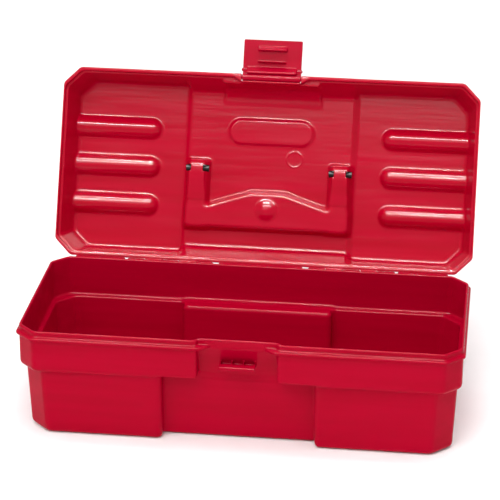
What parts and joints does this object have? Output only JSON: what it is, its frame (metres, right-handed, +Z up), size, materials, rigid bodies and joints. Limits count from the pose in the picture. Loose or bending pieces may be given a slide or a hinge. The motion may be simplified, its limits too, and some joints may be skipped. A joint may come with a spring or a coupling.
{
  "type": "hand toolbox",
  "caption": "Open one-piece moulded toolbox with a heel-stopped hinged lid, a recessed carry handle on top and a front latch that hooks under a catch on the base.",
  "frame": {"origin": "middle of the underside of the base", "axes": "+X along the length, +Z up, -Y towards the front with the latch notch; the lid is open and leans back"},
  "size_m": [0.33, 0.244, 0.2421],
  "materials": {
    "shell": "semi-gloss moulded polypropylene",
    "grip": "satin moulded polypropylene",
    "wire": "drawn wire"
  },
  "bodies": {
    "base": {"base": "shell", "hinge_pin_left": "wire", "hinge_pin_right": "wire"},
    "lid": {"lid": "shell", "handle_pin_left": "grip", "handle_pin_right": "grip"},
    "latch": {"latch": "shell"},
    "handle": {"handle": "grip"}
  },
  "joints": [
    {"name": "lid_hinge", "type": "hinge", "parent": "base", "child": "lid", "pos_m": [0, 0.078, 0.0805], "axis": [1, 0, 0], "range_deg": [0, 114.9]},
    {"name": "latch_hinge", "type": "hinge", "parent": "lid", "child": "latch", "pos_m": [0, 0.145, 0.2151], "axis": [1, 0, 0], "range_deg": [0, 90]},
    {"name": "handle_hinge", "type": "hinge", "parent": "lid", "child": "handle", "pos_m": [0, 0.13228, 0.14163], "axis": [1, 0, 0], "range_deg": [-20.5, 69.5]}
  ]
}
